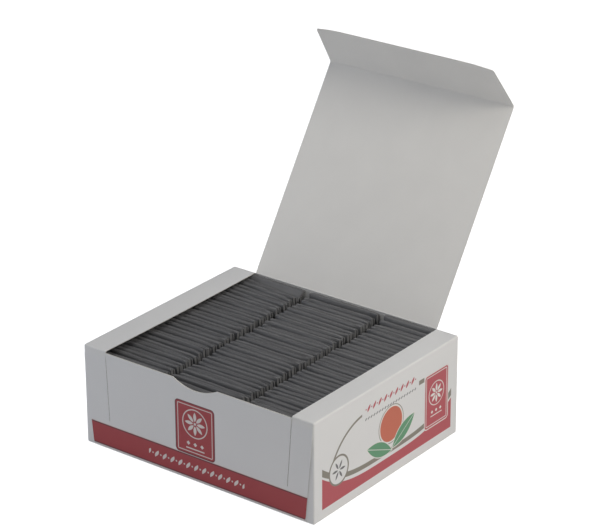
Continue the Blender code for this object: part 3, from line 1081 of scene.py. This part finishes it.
# Envelopes as one array: across u and up v, the middle of each runs from its belly's place to its ridge's,
# and its two faces stand apart by the belly below, a neck, and the ridge on top. Towards the sides both
# faces close to the seams, which curl and wave by sines with their own phases. Behind each ridge stands the
# leaf that is folded over it: the same sheet again, thin and a little lower.
def envelopeSheets(name, x, bellyY, ridgeY, top, thick, skew, chance, forward=0.0):
    p = envelopeShape
    count = len(x)
    halfU = np.array([3, 9, 15, 19.5, 22.4, 25.2, 26.8, 28.4, 29.6, 30.0])
    u = np.concatenate([-halfU[::-1], halfU])
    up = np.array([0, 0.02, 0.08, 0.2, 0.4, 0.58, 0.68, 0.78, 0.84, 0.87, 0.89, 0.925, 0.96, 0.985, 0.996, 1])
    draws = chance.uniform(-1, 1, (8, count, 1, 1))
    u = u[None, None, :]
    v = up[None, :, None]
    given = (x, bellyY, ridgeY, top, thick, skew)
    x, bellyY, ridgeY, top, thick, skew = (value[:, None, None] for value in given)

    def middleLine(z, v):
        lean = ease(z, 30.0, 70.0) * 0.45 + 0.55 * np.clip((z - p["bellyTop"]) / (top - p["bellyTop"]), 0, 1)
        y = bellyY + (ridgeY - bellyY + skew * (u + 30.0) / 60.0) * lean
        y = y - forward * (1.0 + 5.0 * (u + 30.0) / 60.0) * ease(z, 48.0, 68.0) * (1.0 - ease(z, 69.0, 75.0))
        y = y + p["wave"] * lean * np.sin(u * (0.085 + 0.02 * draws[1]) + 3.1 * draws[2])
        y = y + 0.14 * lean * np.sin(u * 0.26 + 3.1 * draws[3])
        sideCurl = np.where(u > 0, draws[4], draws[5])
        y = y + p["seamCurl"] * sideCurl * ease(np.abs(u), 21.0, 30.0) ** 1.5 * (0.35 + 0.65 * v)
        return y + 0.3 * ease(np.abs(u), 22.0, 30.0) * np.sin(v * 9.0 + 3.1 * draws[6])

    slope = draws[0] * 0.25 * u / 30.0
    corners = 0.4 * ease(np.abs(u), 26.0, 30.0)
    z = p["foot"] + v * (top + v**6 * (slope - corners) - p["foot"])
    below = top - z
    halfBelly = thick / 2 * (0.35 + 0.65 * ease(v, 0.0, 0.12))
    neck = ease(z, p["bellyTop"] - 6.0, 63.0)
    half = halfBelly + (p["neck"] / 2 - halfBelly) * neck
    ridge = ease(-below, -p["ridgeHeight"] - 1.2, -p["ridgeHeight"] + 0.6)
    half = half + (p["ridge"] / 2 - p["neck"] / 2) * ridge
    rounding = np.sqrt(np.clip(below / 0.7, 0.03, 1.0))
    half = half * rounding
    closing = ease(np.abs(u), 20.0, p["seamStart"])
    seamHalf = (p["seam"] + (p["foldedSeam"] - p["seam"]) * ridge) / 2 * rounding
    half = half + (seamHalf - half) * closing
    y = middleLine(z, v) + p["ridgeShift"] * ridge

    leafV = np.array([0, 0.25, 0.5, 0.75, 0.93, 0.98, 1.0])[None, :, None]
    leafTop = top + slope - 0.8 * corners - p["leafDrop"] + 0.25 * draws[7]
    leafZ = leafTop - p["leafHeight"] * (1.0 - leafV)
    flare = np.clip(draws[4] * draws[6], 0, 1) * ease(u, 22.0, 30.0) * 1.4 * leafV**2
    leafY = middleLine(leafZ, 1.0 + 0 * leafV) + p["leafShift"] + flare
    leafRound = np.sqrt(np.clip((1.0 - leafV) / 0.06, 0.06, 1.0))
    leafHalf = p["leaf"] / 2 * leafRound * (0.5 + 0.5 * ease(leafV, 0.0, 0.3))
    y, leafY = y + 0 * u, leafY + 0 * u

    points = {"front": [], "back": []}
    quads, uv, own, mark = [], [], [], []
    tone = chance.uniform(0, 1, (count, 1, 1))
    start = 0
    for heights, middle, thickness, reach in ((z, y, half, 0.0), (leafZ, leafY, leafHalf, 0.35)):
        shape = np.broadcast_shapes(heights.shape, middle.shape)
        heights = np.broadcast_to(heights, shape)
        # The last ones are pressed flat on the back wall
        middle = np.minimum(middle, p["wallReach"] + 0.1 * (reach > 0) - thickness)
        across = np.broadcast_to(x + u * (1.0 + reach / 30.0), shape)
        for face, side in (("front", -1.0), ("back", 1.0)):
            sheet = np.stack([across, middle + side * thickness, heights], axis=-1)
            points[face].append(sheet.reshape(-1, 3))
        rows, columns = shape[1:]
        cells = gridQuads(rows, columns)[None] + (np.arange(count) * rows * columns)[:, None, None]
        quads.append(cells.reshape(-1, 4) + start)
        start += count * rows * columns
        uv.append(np.stack([np.broadcast_to(u, shape) + 500.0, heights], axis=-1).reshape(-1, 2) * mm)
        own.append(np.broadcast_to(tone, shape).reshape(-1))
        # Top of each envelope, where the painted shade of its folded layers lies
        mark.append(np.broadcast_to(ease(heights - top, -1.6, -0.2), shape).reshape(-1))
    return sheetMesh(
        name, np.concatenate(points["front"]), np.concatenate(points["back"]), np.concatenate(quads),
        [envelopeFinish], backFinish=0, edgeFinish=0, uv=np.concatenate(uv),
        marks={"ownTone": np.concatenate(own), "foldMark": np.concatenate(mark)}, sharpAngle=60.0,
    )


# The three rows, with the same draws as the solids, and the last envelope of the left row, which stands
# higher and leans on the back wall.
def envelopeRows():
    p = rowShape
    draw = random.Random(p["seed"])
    chance = np.random.default_rng(envelopeShape["lookSeed"])
    made = []
    for row, members in (("left", p["count"] - 1), ("middle", p["count"]), ("right", p["count"])):
        slips = np.array([[draw.uniform(-1, 1) for _ in range(3)] for _ in range(members)])
        share = np.arange(members) / (p["count"] - 1)

        def along(ends):
            return ends[0] + share * (ends[1] - ends[0])

        number = np.arange(members)
        crowded = ease(number, 19, 31) if row == "left" else 0.0 * share
        skew = -6.5 * crowded
        lifted = 0.0 * share if row == "left" else 2.6 * ease(number, 29.4, 31)
        made.append((row, envelopeSheets(
            f"envelopes{row.capitalize()}",
            p["centres"][row] + slips[:, 0] * p["slip"][row],
            along(p["belly"]),
            along(p["ridge"]) + slips[:, 1] * p["ridgeSlip"] + 1.7 * crowded,
            np.minimum(along(p["top"]) + slips[:, 2] * p["topSlip"] + lifted, 75.4),
            np.full(members, envelopeShape["belly"]), skew, chance,
        )))
    last = p["leaning"]
    one = np.ones(1)
    made.append(("leaning", envelopeSheets(
        "envelopeLeaning", p["centres"]["left"] * one, last["belly"] * one, last["ridge"] * one,
        last["top"] * one, (last["thickness"] - 0.4) * one, 0 * one, chance, forward=1.0,
    )))
    return made


solidOf = {"left": "bags_left", "middle": "bags_middle", "right": "bags_right", "leaning": "leaning_bag"}
for row, envelopes in envelopeRows():
    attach(envelopes, "carton")
    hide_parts(solidOf[row])
print("envelopes made")


studio = {
    "floorHalf": 30.0,
    "floorShade": (0.82, 0.82, 0.82, 1.0),
    "floorGlow": 0.90,          # the paper backdrop is lit to white where the camera sees it
    "world": 0.208,
    "worldTint": (0.925, 0.96, 1.055),
    "lamps": {
        "key": {"from": (0.90, 0.05, 0.75), "power": 4.6, "size": 0.4, "tint": (1.04, 0.99, 0.89)},
        "top": {"from": (0.2, -0.1, 2.0), "power": 5.2, "size": 1.0, "tint": (1.0, 0.99, 0.96)},
        "front": {"from": (0.15, -1.2, 2.2), "power": 3.3, "size": 1.0, "tint": (1.0, 0.985, 0.96)},
        "fill": {"from": (-0.8, -0.36, 0.22), "power": 1.8, "size": 0.4, "tint": (0.90, 0.95, 1.04)},
    },
    "camera": {
        "place": (0.99922, -1.27489, 0.84794),
        "around": 37.382,
        "down": 23.816,
        "roll": -0.19,
        "lens": 154.87,
    },
}


def floorFinish():
    material, tree, shader, vector = newFinish("backdropPaper", 0.9)
    shader.inputs["Base Color"].default_value = studio["floorShade"]
    shader.inputs["Specular IOR Level"].default_value = 0.0
    shader.inputs["Emission Color"].default_value = (1.0, 1.0, 1.0, 1.0)
    path = tree.nodes.new("ShaderNodeLightPath")
    glow = times(tree, path.outputs["Is Camera Ray"], studio["floorGlow"])
    tree.links.new(glow, shader.inputs["Emission Strength"])
    return material


def makeStudio():
    reach = studio["floorHalf"]
    mesh = bpy.data.meshes.new("floor")
    corners = np.array([[-1, -1, 0], [1, -1, 0], [1, 1, 0], [-1, 1, 0]]) * reach
    corners[:, 2] = -0.0001
    mesh.from_pydata(corners.tolist(), [], [[0, 1, 2, 3]])
    mesh.materials.append(floorFinish())
    floor = bpy.data.objects.new("floor", mesh)
    scene.collection.objects.link(floor)

    world = bpy.data.worlds.new("studio")
    scene.world = world
    world.use_nodes = True
    tree = world.node_tree
    # The sky is one pale tone that fades to the left, where the room is dark
    where = tree.nodes.new("ShaderNodeTexCoord")
    side = separate(tree, where.outputs["Generated"])[0]
    shade = scaled(tree, side, 0.45, 1.0)
    background = tree.nodes["Background"]
    background.inputs["Color"].default_value = (*studio["worldTint"], 1.0)
    tree.links.new(times(tree, shade, studio["world"]), background.inputs["Strength"])

    for name, p in studio["lamps"].items():
        light = bpy.data.lights.new(name, "AREA")
        light.energy = p["power"]
        light.size = p["size"]
        light.color = p["tint"]
        lamp = bpy.data.objects.new(name, light)
        place = np.array(p["from"])
        lamp.location = place
        aim = place - np.array([0.0, 0.0, 0.08])
        lamp.rotation_euler = (math.acos(aim[2] / np.linalg.norm(aim)), 0.0, math.atan2(aim[0], -aim[1]))
        scene.collection.objects.link(lamp)

    p = studio["camera"]
    lens = bpy.data.cameras.new("camera")
    lens.lens = p["lens"]
    lens.sensor_width = 36.0
    lens.sensor_fit = "HORIZONTAL"
    camera = bpy.data.objects.new("camera", lens)
    scene.collection.objects.link(camera)
    scene.camera = camera
    around, down, roll = (math.radians(p[key]) for key in ("around", "down", "roll"))
    camera.matrix_world = (
        Matrix.Translation(p["place"])
        @ Matrix.Rotation(around, 4, "Z")
        @ Matrix.Rotation(math.pi / 2 - down, 4, "X")
        @ Matrix.Rotation(roll, 4, "Z")
    )
    scene.view_settings.view_transform = "Standard"


makeStudio()
print("studio made")
